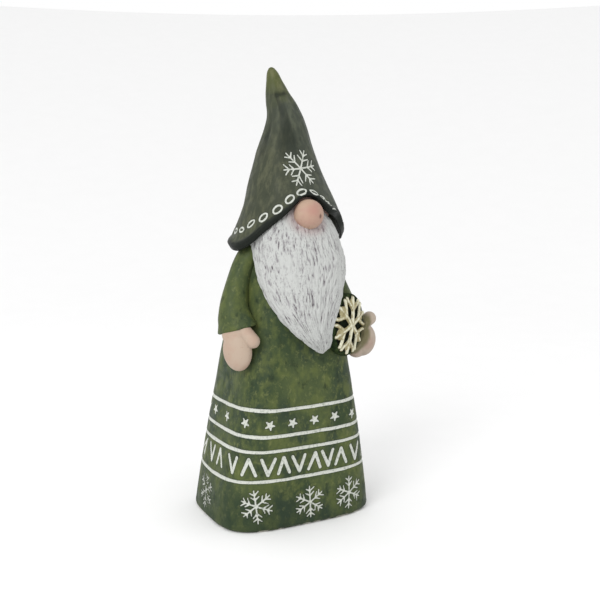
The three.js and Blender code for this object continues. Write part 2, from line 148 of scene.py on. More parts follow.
def push(rings, amount):
    """Moves points along the surface's normal: outwards, if the rings turn left and run upwards."""
    around = np.roll(rings, -1, 1) - np.roll(rings, 1, 1)
    normal = np.cross(around, np.gradient(rings, axis=0))
    normal /= np.linalg.norm(normal, axis=-1, keepdims=True) + 1e-12
    return rings + normal * amount[..., None]


def in_scene(name, data):
    thing = bpy.data.objects.new(name, data)
    bpy.context.scene.collection.objects.link(thing)
    return thing


def remove(holder):
    mesh = holder.data
    bpy.data.objects.remove(holder)
    bpy.data.meshes.remove(mesh)


def modified(holder):
    """A new mesh as the object's modifiers shape it."""
    view = bpy.context.evaluated_depsgraph_get()
    return bpy.data.meshes.new_from_object(holder.evaluated_get(view))


def ball_parts(rounds, levels):
    """Points and faces of a ball of radius 1, its two poles last."""
    angle = np.linspace(0, 2 * np.pi, rounds, endpoint=False)
    polar = np.linspace(0, np.pi, levels + 2)[1:-1, None]
    points = np.stack([np.sin(polar) * np.sin(angle), np.sin(polar) * np.cos(angle),
                       np.cos(polar) * np.ones(rounds)], -1).reshape(-1, 3)
    north, south = len(points), len(points) + 1
    last_row = (levels - 1) * rounds
    faces = []
    for j in range(rounds):
        k = (j + 1) % rounds
        faces.append((k, j, north))
        faces.append((last_row + j, last_row + k, south))
        for row in range(0, last_row, rounds):
            faces.append((row + j, row + k, row + rounds + k, row + rounds + j))
    return np.vstack([points, [0, 0, 1], [0, 0, -1]]), faces


def fused_mesh(name, blobs, grain, smoothing):
    """One skin over overlapping blobs, each (centre, radii, turn about y in degrees), melted together."""
    ball, ball_faces = ball_parts(28, 18)
    points, faces = [], []
    for centre, radii, turn in blobs:
        base = len(points)
        spin = np.array(Matrix.Rotation(math.radians(turn), 3, "Y"))
        points.extend((ball * radii @ spin.T + centre).tolist())
        faces.extend([base + corner for corner in face] for face in ball_faces)
    rough = bpy.data.meshes.new(name + "_rough")
    rough.from_pydata(points, [], faces)
    holder = in_scene(name + "_rough", rough)
    remesh = holder.modifiers.new("melt", "REMESH")
    remesh.mode = "VOXEL"
    remesh.voxel_size = grain
    soften = holder.modifiers.new("soften", "SMOOTH")
    soften.factor = 0.5
    soften.iterations = smoothing
    mesh = modified(holder)
    remove(holder)
    mesh.name = name
    return mesh


def cut_away(mesh, tool):
    """The mesh less the room that the tool takes."""
    name = mesh.name
    holder, room = in_scene(name + "_whole", mesh), in_scene(name + "_room", tool)
    cut = holder.modifiers.new("cut", "BOOLEAN")
    cut.operation = "DIFFERENCE"
    cut.solver = "EXACT"
    cut.object = room
    rest = modified(holder)
    remove(holder)
    remove(room)
    rest.name = name
    return rest


def mesh_points(mesh):
    points = np.empty(len(mesh.vertices) * 3)
    mesh.vertices.foreach_get("co", points)
    return points.reshape(-1, 3)


def add_piece(mesh, node, material):
    """Turns a mesh in millimetres into a piece that stands for its CAD node."""
    mesh.transform(Matrix.Scale(MM, 4))
    mesh.materials.clear()
    mesh.materials.append(material)
    mesh.polygons.foreach_set("use_smooth", [True] * len(mesh.polygons))
    piece = in_scene(mesh.name, mesh)
    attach(piece, "root")
    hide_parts(node)


# ---- node materials
STUDIO_LIGHT = 1.5   # how much brighter than its own colour a surface shows in this light


def shown(*colour):
    """The paint that shows as this colour, on the usual 0 to 255 scale, under the studio light."""
    shares = [level / 255 for level in colour]
    linear = [c / 12.92 if c <= 0.04045 else ((c + 0.055) / 1.055) ** 2.4 for c in shares]
    return (*(c / STUDIO_LIGHT for c in linear), 1)


class Paint:
    """A node material with short names for the nodes that these finishes use."""

    def __init__(self, name, roughness, specular, metallic=0.0):
        self.material = bpy.data.materials.new(name)
        self.material.use_nodes = True
        self.nodes = self.material.node_tree.nodes
        self.links = self.material.node_tree.links
        self.shader = self.nodes["Principled BSDF"]
        self.feed(self.shader.inputs["Roughness"], roughness)
        self.feed(self.shader.inputs["Specular IOR Level"], specular)
        self.feed(self.shader.inputs["Metallic"], metallic)
        self.place = self.nodes.new("ShaderNodeTexCoord").outputs["Object"]

    def feed(self, socket, value):
        if isinstance(value, bpy.types.NodeSocket):
            self.links.new(value, socket)
        else:
            socket.default_value = value

    def node(self, kind, **inputs):
        """A node with its inputs fed by their names, which have an underscore for a space."""
        node = self.nodes.new("ShaderNode" + kind)
        for key, value in inputs.items():
            self.feed(node.inputs[key.replace("_", " ")], value)
        return node

    def noise(self, grain, detail=3.0, stretch=(1, 1, 1), shift=(0, 0, 0), rough=0.5):
        """Noise from 0 to 1 with its grain in mm; stretch makes it longer along an axis."""
        mapping = self.node("Mapping", Vector=self.place, Scale=[1 / s for s in stretch], Location=shift)
        node = self.node("TexNoise", Vector=mapping.outputs["Vector"], Scale=1 / (grain * MM),
                         Detail=detail, Roughness=rough)
        return node.outputs["Fac"]

    def field(self, name):
        """A value kept on the mesh's points."""
        node = self.nodes.new("ShaderNodeAttribute")
        node.attribute_name = name
        return node.outputs["Fac"]

    def axis(self, name):
        """The position along one axis, in mm."""
        return self.times(self.node("SeparateXYZ", Vector=self.place).outputs[name], 1 / MM)

    def math(self, operation, a, b):
        node = self.nodes.new("ShaderNodeMath")
        node.operation = operation
        self.feed(node.inputs[0], a)
        self.feed(node.inputs[1], b)
        return node.outputs[0]

    def times(self, a, b):
        return self.math("MULTIPLY", a, b)

    def plus(self, a, b):
        return self.math("ADD", a, b)

    def ragged(self, value, reach, grain, detail=3.0, stretch=(1, 1, 1)):
        """The value with noise added, up to half of reach either way."""
        centred = self.math("SUBTRACT", self.noise(grain, detail, stretch), 0.5)
        return self.plus(value, self.times(centred, reach))

    def step(self, value, low, high):
        """0 below low, 1 above high and a soft step between; low may be the larger one."""
        rising = float(low < high)
        node = self.node("MapRange", Value=value, From_Min=min(low, high), From_Max=max(low, high),
                         To_Min=1 - rising, To_Max=rising)
        node.interpolation_type = "SMOOTHSTEP"
        return node.outputs[0]

    def blend(self, amount, a, b):
        """The colour a where amount is 0, b where it is 1."""
        node = self.nodes.new("ShaderNodeMix")
        node.data_type = "RGBA"
        self.feed(node.inputs[0], amount)
        self.feed(node.inputs[6], a)
        self.feed(node.inputs[7], b)
        return node.outputs[2]

    def dabbed(self, colour, grain, cut, cover, dab):
        """Sponges dab over the colour wherever the noise passes the cut."""
        return self.blend(self.times(self.step(self.noise(*grain), *cut), cover), colour, dab)

    def bump(self, height, distance, strength):
        node = self.node("Bump", Height=height, Distance=distance * MM, Strength=strength)
        return node.outputs["Normal"]

    def done(self, colour, roughness=None, normal=None):
        for key, value in (("Base Color", colour), ("Roughness", roughness), ("Normal", normal)):
            if value is not None:
                self.links.new(value, self.shader.inputs[key])
        return self.material


WHITE_FILLING = shown(232, 235, 226)
GREY_FILLING = shown(176, 184, 170)
STROKE_SHADOW = shown(38, 46, 34)


def inked(paint, colour):
    """Lays the white-filled strokes over a colour; the 'ink' field is the distance from a stroke's edge."""
    edge = paint.ragged(paint.field("ink"), 0.35, 0.7, 2)
    rubbed = paint.times(paint.step(paint.noise(0.9, 3, shift=(3, 1, 2)), 0.42, 0.6), paint.field("worn"))
    cover = paint.math("MAXIMUM", paint.math("SUBTRACT", paint.step(edge, 0.12, -0.1), rubbed), 0.0)
    dirt = paint.step(paint.noise(1.3, 3, shift=(9, 0, 4)), 0.5, 0.75)
    white = paint.blend(dirt, WHITE_FILLING, GREY_FILLING)
    shadow = paint.times(paint.step(edge, 0.75, 0.1), 0.45)
    return paint.blend(cover, paint.blend(shadow, colour, STROKE_SHADOW), white)


# sponged on from the bottom up: the noise (grain, detail, stretch, shift, roughness), its cut, cover, colour
ROBE_DABS = (
    ((19, 2, (1, 1, 2.2), (8, 3, 6)), (0.45, 0.62), 0.85, shown(56, 71, 56)),   # slate washes
    ((7, 4, (1, 1, 1.4), (5, 2, 1), 0.6), (0.42, 0.66), 0.6, shown(110, 120, 66)),   # yellow-green dabs
    ((2.4, 4, (1, 1, 1.3), (1, 7, 3), 0.65), (0.52, 0.72), 0.5, shown(134, 140, 86)),   # light flecks
    ((5, 4, (1, 1, 1.6), (2, 9, 5), 0.6), (0.56, 0.74), 0.8, shown(43, 56, 38)),   # dark dabs
)


def robe_paint():
    """Sponged greens, darker and greyer low on the skirt and chipped to white along the hem."""
    p = Paint("robe_sponged_green", 0.72, 0.12)
    patches = p.step(p.noise(26, 3, (1, 1, 1.5)), 0.38, 0.62)
    colour = p.blend(patches, shown(61, 77, 51), shown(84, 97, 61))
    for dabs in ROBE_DABS:
        colour = p.dabbed(colour, *dabs)
    low = p.step(p.plus(p.axis("Z"), p.times(p.noise(14, 2, (1, 1, 2)), 50.0)), 56.0, 30.0)
    colour = p.blend(p.times(low, 0.5), colour, shown(48, 63, 49))
    at_hem = p.step(p.axis("Z"), 1.5, 0.8)
    chips = p.times(at_hem, p.step(p.noise(5, 3, shift=(3, 8, 3)), 0.5, 0.56))
    colour = p.blend(chips, colour, shown(206, 204, 188))
    colour = inked(p, colour)
    return p.done(colour, p.step(p.noise(4, 3), -0.6, 1.6), p.bump(p.noise(1.1, 4), 0.12, 0.5))


def hat_paint():
    """Dark slate-green wash, olive on the right side and the tip, nearly black at the rolled brim (dark
    paint and painted shade); painted shade in the creases and folds.
    """
    p = Paint("hat_slate_green", 0.72, 0.12)
    right_side = p.step(p.ragged(p.axis("X"), 26.0, 16), 2.0, -16.0)
    streaks = p.step(p.noise(3.2, 4, (1, 1, 4), (4, 4, 1), 0.6), 0.42, 0.68)
    slate = p.blend(streaks, shown(74, 80, 69), shown(93, 98, 83))
    olive = p.blend(streaks, shown(72, 77, 62), shown(96, 99, 78))
    tip_green = p.blend(streaks, shown(94, 100, 60), shown(116, 118, 82))
    colour = p.blend(right_side, slate, olive)
    tip = p.step(p.plus(p.axis("Z"), p.times(p.noise(6, 2), 16.0)), 236.0, 254.0)
    colour = p.blend(tip, colour, tip_green)
    # painted shade: darker in the crease and in the hollows between the folds
    colour = p.blend(p.times(p.field("fold_shade"), 0.8), colour, shown(40, 46, 38))
    # dark paint and painted shade: nearly black along the rolled brim's lower edge
    from_edge = p.plus(p.field("edge"), p.times(p.noise(3, 3), 2.4))
    colour = p.blend(p.times(p.step(from_edge, 7.6, 4.6), 0.95), colour, shown(28, 33, 29))
    colour = p.dabbed(colour, (4, 4, (1, 1, 1.5), (2, 2, 9), 0.6), (0.58, 0.75), 0.4, shown(42, 48, 40))
    colour = inked(p, colour)
    grain = p.bump(p.noise(1.2, 4, (1, 1, 1.8)), 0.14, 0.5)
    return p.done(colour, p.step(p.noise(4, 3), -0.6, 1.6), grain)


def beard_paint():
    """White dry-brushed over a grey wash, which stays in the hollows between the strands."""
    p = Paint("beard_dry_brushed", 0.85, 0.2)
    height = p.ragged(p.field("strand"), 0.9, 0.9, 3, (1, 1, 2.5))
    colour = p.blend(p.step(height, -0.1, 0.5), shown(166, 162, 165), shown(217, 219, 216))
    broken = p.step(p.noise(1.1, 3, (1, 1, 2), (3, 3, 3)), 0.46, 0.6)
    pits = p.times(p.step(height, 0.2, -0.05), broken)
    colour = p.blend(p.times(pits, 0.9), colour, shown(100, 93, 96))
    clusters = p.step(p.noise(14, 2, (1, 1, 1.5), (2, 6, 2)), 0.35, 0.6)
    speckles = p.times(p.step(p.noise(0.75, 2, (1, 1, 1.5), (6, 2, 2)), 0.56, 0.68), clusters)
    colour = p.blend(p.times(speckles, 0.5), colour, shown(128, 120, 126))
    colour = p.blend(p.times(p.field("near_nose"), 0.5), colour, shown(186, 156, 156))
    return p.done(colour, None, p.bump(p.noise(0.6, 3, (1, 1, 2)), 0.1, 0.6))


def skin_paint(name, pale, warm):
    """Flesh paint with a warmer blush: the paint and its colour so far."""
    p = Paint(name, 0.55, 0.35)
    colour = p.blend(p.step(p.noise(9, 3, shift=(2, 5, 1)), 0.4, 0.68), pale, warm)
    return p, p.dabbed(colour, (1.4, 4, (1, 1, 1), (7, 1, 1)), (0.6, 0.76), 0.35, shown(170, 132, 112))


def nose_paint():
    """Flesh with a rosy front and a small brown speck."""
    p, colour = skin_paint("nose_flesh", shown(207, 177, 153), shown(198, 158, 141))
    colour = p.blend(p.times(p.field("blush"), 0.75), colour, shown(200, 148, 134))
    colour = p.blend(p.field("speck"), colour, shown(110, 78, 62))
    return p.done(colour, None, p.bump(p.noise(1.5, 3), 0.1, 0.4))


def hand_paint(name, pale, warm, stain_and_shade):
    """Flesh, darkened to olive where a field on the mesh says so: olive paint and painted shade."""
    p, colour = skin_paint(name, pale, warm)
    # olive paint and painted shade where the hand meets the medallion
    colour = p.blend(p.step(p.ragged(p.field("stain_and_shade"), 0.5, 2.5), 0.2, 1.1), colour, stain_and_shade)
    return p.done(colour, None, p.bump(p.noise(1.8, 3), 0.12, 0.45))


def gilt_paint():
    """Tan gold with pale yellow dry-brushed along the crests, and a painted highlight on the upper left
    flanks.
    """
    p = Paint("gilt_relief", 0.5, 0.4, 0.15)
    mottle = p.step(p.noise(3, 3, shift=(1, 5, 2)), 0.4, 0.65)
    tan = p.blend(mottle, shown(164, 150, 104), shown(194, 184, 138))
    crest_and_highlight = p.ragged(p.field("crest_and_highlight"), 0.9, 1.6)
    # pale yellow on the crests from dry brushing, and a painted highlight on the flanks that face up and
    # left
    colour = p.blend(p.step(crest_and_highlight, 0.45, 0.85), tan, shown(252, 250, 222))
    colour = p.blend(p.step(p.field("foot"), 0.35, 0.8), colour, shown(74, 70, 40))
    return p.done(colour, p.step(p.noise(2, 3), -0.2, 1.8), p.bump(p.noise(1.0, 3), 0.1, 0.5))


def plate_paint():
    """The dark ground of the medallion, green on its rim."""
    p = Paint("medallion_ground", 0.92, 0.04)
    mottle = p.step(p.noise(3, 4), 0.4, 0.7)
    ground = p.blend(mottle, shown(16, 20, 14), shown(30, 38, 24))
    rim = p.blend(mottle, shown(36, 50, 30), shown(66, 80, 46))
    colour = p.blend(p.field("rim"), ground, rim)
    return p.done(colour, None, p.bump(p.noise(1.4, 4), 0.15, 0.5))


def plain_paint(name, dark, light, grain_size):
    p = Paint(name, 0.8, 0.2)
    colour = p.blend(p.step(p.noise(grain_size, 4), 0.35, 0.68), dark, light)
    return p.done(colour, None, p.bump(p.noise(1.2, 4), 0.15, 0.5))


# ---- hand-cut strokes
FAR = 4.0   # ink distance where there is no stroke near, in mm


def stroke_field(u, v, strokes):
    """Distance from the nearest stroke's edge, negative inside. A stroke's ends are (u, v, half width)."""
    best = np.full(u.shape, FAR)
    for (u0, v0, w0), (u1, v1, w1) in strokes:
        du, dv = u1 - u0, v1 - v0
        t = np.clip(((u - u0) * du + (v - v0) * dv) / (du * du + dv * dv), 0, 1)
        away = np.hypot(u - u0 - t * du, v - v0 - t * dv)
        best = np.minimum(best, away - mix(w0, w1, t))
    return best


def draw(ink, u, v, strokes, reach):
    """Adds strokes to the ink distances within reach of their middle."""
    near = (np.abs(u) < reach) & (np.abs(v) < reach)
    ink[near] = np.minimum(ink[near], stroke_field(u[near], v[near], strokes))


def groove(ink, depth):
    """The strokes' relief: down to minus depth inside them."""
    return -depth * smooth(-ink, -0.15, 0.45)


def on_circle(angle, radius):
    """A point of a circle, by its angle from the upright."""
    return radius * math.sin(angle), radius * math.cos(angle)


def snowflake_strokes(radius, turn, half_width=0.44):
    """Six arms with two pairs of barbs each, cut freehand."""
    strokes = []
    for arm in range(6):
        angle = math.radians(turn + 60 * arm + DRAW.normal(0, 2.5))
        reach = radius * DRAW.uniform(0.92, 1.05)
        tip = on_circle(angle, reach)
        strokes.append(((0, 0, half_width), (*tip, half_width * 0.75)))
        for share, barb in ((0.42, 0.36), (0.7, 0.33)):
            root = on_circle(angle, share * reach)
            for side in (-1, 1):
                lean = angle + side * math.radians(DRAW.uniform(44, 58))
                out, up = on_circle(lean, barb * radius * DRAW.uniform(0.85, 1.15))
                strokes.append(((*root, half_width), (root[0] + out, root[1] + up, half_width * 0.6)))
    return strokes


def star_strokes(radius):
    """A five-pointed star with one point down."""
    turn = DRAW.normal(0, 5)
    strokes = []
    for k in range(5):
        tip = on_circle(math.radians(180 + 72 * k + turn), radius * DRAW.uniform(0.92, 1.08))
        strokes.append(((0, 0, 1.05), (*tip, 0.32)))
    return strokes


def chevron_strokes(upright, half_width, half_height):
    """A V, or upside down, cut as two strokes that meet at its point."""
    sign = 1 if upright else -1
    lean = DRAW.normal(0, 0.25)
    foot = (lean, -sign * half_height, 0.95)
    return [((side * half_width + DRAW.normal(0, 0.2), sign * half_height, 0.85), foot) for side in (-1, 1)]


# ---- robe
# (height, size) stations
ROBE_HALF_WIDTH = ((0, 47.6), (37, 41.8), (74, 34.7), (104, 30.5), (130, 27.6), (150, 24), (155, 20.5),
                   (158, 15))
ROBE_HALF_DEPTH = ((0, 36.5), (37, 35.6), (74, 34.2), (104, 30.4), (130, 26.2), (150, 22), (155, 19),
                   (158, 14))
ROBE_TOP = 158
SKIRT_TOP = 74   # up to here the section is a rounded rectangle
SKIRT_EXPONENT = 3.8
SHOULDER_HEIGHT = 150   # from here on it is nearly an ellipse
SHOULDER_EXPONENT = 2.2
ROBE_WALL = 5
FORWARD_LEAN = 0.04
NECK_SHARE = 0.72   # the neck hole's size beside that of the top ring
NECK_DEPTH = 3.5
HEM_RADIUS = 3
ROBE_COLUMNS = 480
FINE_TOP = 72   # rings are close together up to here, for the strokes
FINE_STEP = 0.49
COARSE_STEP = 2.2
STROKE_DEPTH = 0.42
PAINTED_LINES = ((67.8, 1.9), (53.7, 0.9), (45.5, 0.8), (28.8, 1.7))   # height, sag towards the right hand
LINE_HALF_WIDTH = 0.9
# places along the outline from the front; girth is all the way round, gaps are those behind
STAR_HEIGHT, STAR_RADIUS, STAR_GIRTH, STAR_GAPS = 60, 2.7, 253, 12
STAR_PLACES = (-73.7, -57.0, -38.2, -23.9, -11.0, 2.3, 15.3, 28.7)
CHEVRON_HEIGHT, CHEVRON_HALF_HEIGHT, CHEVRON_GIRTH, CHEVRON_GAPS = 37, 4.3, 269, 14
CHEVRON_PLACES = (-72.3, -61.4, -46.9, -36.2, -25.1, -16.2, -7.0, 2.6, 11.0, 19.7, 30.6)
FLAKE_RADIUS, FLAKE_GIRTH, FLAKE_GAPS = 9.4, 285, 6
FLAKE_PLACES = (-76.5, -32.0, 0.0, 25.8)
FLAKE_HEIGHTS = (14.2, 15.4, 13.2, 14)


def outline_reach(angle, half_width, half_depth, exponent):
    """Distance from the middle of a superellipse to its outline."""
    s = np.abs(np.sin(angle) / half_width) ** exponent
    c = np.abs(np.cos(angle) / half_depth) ** exponent
    return (s + c) ** (-1 / exponent)


def robe_rings(angles, z, inset=0.0):
    """Rings of the robe's section at the heights z, moved inwards by inset."""
    z = np.asarray(z, float)[:, None]
    wide, deep = through(ROBE_HALF_WIDTH, z), through(ROBE_HALF_DEPTH, z)
    exponent = mix(SKIRT_EXPONENT, SHOULDER_EXPONENT, smooth(z, SKIRT_TOP, SHOULDER_HEIGHT))
    share = 1 - np.asarray(inset, float).reshape(-1, 1) / ((wide + deep) / 2)
    reach = outline_reach(angles[None, :], wide, deep, exponent) * share
    height = z + 0 * reach
    return np.stack([reach * np.sin(angles), -reach * np.cos(angles) - FORWARD_LEAN * height, height], -1)


def even_angles(columns, z):
    """Angles whose points lie evenly spaced along the robe's outline at height z, from back to back."""
    fine = np.linspace(-np.pi, np.pi, 4001)
    ring = robe_rings(fine, [z])[0]
    length = np.insert(np.cumsum(np.linalg.norm(np.diff(ring, axis=0), axis=1)), 0, 0)
    return np.interp(np.arange(columns) / columns * length[-1], length, fine)


def all_round(places, girth, gaps):
    """The measured places, followed by evenly spaced ones over the rest of the way round."""
    gap = (places[0] + girth - places[-1]) / gaps
    return list(places) + [places[-1] + gap * k for k in range(1, gaps)]


def robe_strokes(rings):
    """The ink distances of the robe's painted bands, and where their paint is rubbed off."""
    steps = np.linalg.norm(np.roll(rings, -1, 1) - rings, axis=-1)
    girth = steps.sum(1, keepdims=True)
    arc = np.cumsum(steps, 1) - steps
    arc = arc - arc[:, [ROBE_COLUMNS // 2]]
    height = rings[..., 2]

    wobble = 0.35 * noise(rings, 24, 3.0) + 0.16 * noise(rings, 7, 1.0)
    ink = np.full(height.shape, FAR)
    sagging = smooth(arc, -30, -72) * smooth(arc, -124, -96)
    for z, sag in PAINTED_LINES:
        swell = 0.16 * noise(rings, 9, z)
        ink = np.minimum(ink, np.abs(height - z + sag * sagging + wobble) - LINE_HALF_WIDTH - swell)

    def from_place(place):
        return (arc - place + girth / 2) % girth - girth / 2

    for place in all_round(STAR_PLACES, STAR_GIRTH, STAR_GAPS):
        above = height - STAR_HEIGHT - DRAW.normal(0, 0.4)
        draw(ink, from_place(place), above, star_strokes(STAR_RADIUS), 5)
    for k, place in enumerate(all_round(CHEVRON_PLACES, CHEVRON_GIRTH, CHEVRON_GAPS)):
        strokes = chevron_strokes(k % 2 == 0, DRAW.uniform(3.3, 3.8), CHEVRON_HALF_HEIGHT)
        draw(ink, from_place(place), height - CHEVRON_HEIGHT - DRAW.normal(0, 0.25), strokes, 8)
    worn = 0 * height
    for k, place in enumerate(all_round(FLAKE_PLACES, FLAKE_GIRTH, FLAKE_GAPS)):
        u, v = from_place(place), height - FLAKE_HEIGHTS[k % len(FLAKE_HEIGHTS)]
        draw(ink, u, v, snowflake_strokes(FLAKE_RADIUS, DRAW.uniform(-16, 16)), 12)
        if k == 0:
            worn = np.exp(-(np.hypot(u, v) / 9) ** 4)
    return ink, worn


def robe_mesh():
    """A tube: up the outside, in at the neck and down the inside."""
    angles = even_angles(ROBE_COLUMNS, CHEVRON_HEIGHT)
    hem = np.linspace(0, np.pi / 2, 7)
    fine = np.arange(HEM_RADIUS + 0.5, FINE_TOP, FINE_STEP)
    coarse = np.arange(FINE_TOP + 0.5, ROBE_TOP, COARSE_STEP)
    heights = np.concatenate([HEM_RADIUS * (1 - np.cos(hem)), fine, coarse, [ROBE_TOP]])
    inset = np.concatenate([HEM_RADIUS * (1 - np.sin(hem)), np.zeros(len(heights) - len(hem))])
    rings = robe_rings(angles, heights, inset)
    ink, worn = robe_strokes(rings)

    z = rings[..., 2]
    lumps = 0.22 * noise(rings, 15) + 0.07 * noise(rings, 4.5)
    lumps = lumps * smooth(z, 0, 8) * (1 - smooth(z, 140, 156))
    outer = push(rings, groove(ink, STROKE_DEPTH) + lumps)

    lean = -FORWARD_LEAN * ROBE_TOP * (1 - NECK_SHARE)
    neck = rings[-1:] * [NECK_SHARE, NECK_SHARE, 1] + [0, lean, 0]
    inner = robe_rings(angles, [150, 130, 104, 74, 37, 4.3, 0], ROBE_WALL)
    body = np.concatenate([outer, neck, neck - [0, 0, NECK_DEPTH], inner])
    extra = len(body) - len(outer)
    fields = {"ink": np.pad(ink, ((0, extra), (0, 0)), constant_values=FAR),
              "worn": np.pad(worn, ((0, extra), (0, 0)))}
    return ring_mesh("robe_casting", body, True, fields)


# ---- hat
# (height, size) stations, and for the brim's edge (degrees from the front, height)
HAT_RADIUS = ((150, 37.2), (156, 34.8), (160, 32.7), (165, 30.2), (171, 27.6), (178, 25), (185, 22.8),
              (191.4, 20.6), (198, 18.3), (204.6, 16), (211, 13.7), (217.7, 11.4), (224.2, 9.3),
              (230.6, 7.7), (237.1, 6.2), (243.5, 4.2), (248, 2.8), (250, 1.5))
HAT_AXIS_X = ((150, 0.8), (178, 0.8), (191, 0.2), (206, 0.1), (222, 0.8), (230, -0.6), (238, -3.1),
              (250, -5.6))
HAT_AXIS_Y = ((150, -11), (174, -11), (183, -9.6), (191, -8.2), (206, -6.8), (222, -5.6), (236, -3.4),
              (250, -1.5))
BRIM_EDGE = ((0, 181), (9, 180.2), (16, 178), (30, 172.6), (54, 163.6), (70, 155.9), (84, 152.3),
             (110, 153.5), (180, 153.5))
BRIM_BASE = 153.5
BRIM_FLIP = 5.5   # how far the brim turns up at the figure's left end
BRIM_CHAMFER = 2.4
OVAL_DEPTH = 0.4
HAT_TOP = 250
HAT_LIFT_TOP = 220   # the brim's rise over the nose has faded out here
HAT_WALL = 4
HAT_COLUMNS = 400
# degrees from the front, height, half length, half width: rings that shrink to dashes on the left
OVALS = ((-115, 163, 2.4, 1.2), (-99, 162.6, 2.2, 1.1), (-85.5, 163.6, 2.2, 1.2), (-72.8, 167, 2.5, 1.2),
         (-57.7, 170.5, 2.7, 1.4), (-41.4, 174.7, 2.6, 1.6), (-26.1, 180, 2.7, 1.5), (-9, 183.7, 2.6, 1.3),
         (9.5, 183.4, 2.4, 0.9), (23, 180.3, 2.3, 0.45), (30.5, 177.5, 2.3, 0.45), (39, 173.8, 2.4, 0.5),
         (68, 168, 2, 0.7), (82, 164.6, 2.2, 1), (96, 164, 2.3, 1.1), (110, 163.4, 2.3, 1.2),
         (125, 163, 2.4, 1.2), (140, 163, 2.3, 1.2), (155, 163, 2.4, 1.1), (170, 163, 2.3, 1.2),
         (-171, 163, 2.4, 1.2), (-157, 163, 2.3, 1.1), (-142.5, 163, 2.4, 1.2), (-128.5, 163, 2.3, 1.2))
OVAL_LINE = 0.5   # half its width
HAT_FLAKE = (-2, 196)   # degrees from the front, height


def brim_height(degrees):
    """Height of the brim's lower edge round the hat."""
    flip = BRIM_FLIP * smooth(degrees, 25, 60) * (1 - smooth(degrees, 70, 120))
    return through(BRIM_EDGE, np.abs(degrees)) + flip


def hat_rings(angles, heights, insets):
    """Rings of a level hat, lifted over the nose and moved inwards by insets."""
    heights, insets = (np.asarray(x, float)[:, None] for x in (heights, insets))
    degrees = np.degrees(angles)[None, :]
    lift = brim_height(degrees) - BRIM_BASE
    above = heights - BRIM_BASE
    thinner = 0.5 * smooth(np.abs(degrees), 60, 15)
    rolled = smooth(degrees, 40, 62) * smooth(degrees, 125, 95)
    squeeze = (thinner - 0.6 * rolled) * np.clip(above, 0, BRIM_CHAMFER) * smooth(above, 14, BRIM_CHAMFER)
    insets = np.where(insets < 3, np.minimum(insets * (1 + 0.55 * rolled), 3.5), insets)
    z = heights + lift * (1 - smooth(heights, BRIM_BASE, HAT_LIFT_TOP)) ** 1.4 - squeeze
    radius = np.maximum(through(HAT_RADIUS, z) - insets, 0)
    return np.stack([through(HAT_AXIS_X, z) + radius * np.sin(angles),
                     through(HAT_AXIS_Y, z) - radius * np.cos(angles), z], -1)


def hat_profile():
    """Heights and insets down the hat's inside, round the rolled edge and up to the tip."""
    inner = ((225.9, 9), (224.5, 6), *((z, HAT_WALL) for z in (222, 212, 200, 188, 176, 165)))
    above_base = ((0.5, HAT_WALL), (0.15, HAT_WALL - 0.12), (0, HAT_WALL - 0.45), (0, 2.6), (0.12, 2.2),
                  (0.5, 1.8), (1.2, 1.1), (1.9, 0.4), (2.3, 0.1), (2.7, 0))
    edge = [(BRIM_BASE + rise, inset) for rise, inset in above_base]
    outer = [(z, 0) for z in np.arange(BRIM_BASE + BRIM_CHAMFER + 0.8, HAT_TOP - 0.4, 0.52)]
    tip = [(HAT_TOP - 0.1, 0), (HAT_TOP, 0)]
    heights, insets = np.array([*inner, *edge, *outer, *tip], float).T
    return heights, insets, len(inner) + len(edge)


def hat_strokes(degrees, z):
    """The ink distances of the ovals round the brim and the snowflake on the front."""
    radius = through(HAT_RADIUS, z)
    ink = np.full(z.shape, FAR)
    for place, level, half_length, half_width in OVALS:
        u = np.radians(degrees - place) * radius
        v = z - level
        rise = brim_height(place + 6) - brim_height(place - 6)
        slope = math.atan2(rise, math.radians(12) * through(HAT_RADIUS, level)) + DRAW.normal(0, 0.08)
        along = u * math.cos(slope) + v * math.sin(slope)
        across = v * math.cos(slope) - u * math.sin(slope)
        long, short = half_length * DRAW.uniform(0.94, 1.06), half_width * DRAW.uniform(0.9, 1.1)
        reach = np.hypot(along / long, across / short)
        away = np.abs(reach - 1) * np.hypot(along, across) / np.maximum(reach, 0.2)
        near = (np.abs(u) < 7) & (np.abs(v) < 7)
        ink[near] = np.minimum(ink[near], away[near] - OVAL_LINE)
    place, level = HAT_FLAKE
    slant = 1.04   # the cone leans back, so heights along it are longer
    draw(ink, np.radians(degrees - place) * radius, (z - level) * slant, snowflake_strokes(10.4, 23), 13)
    return ink


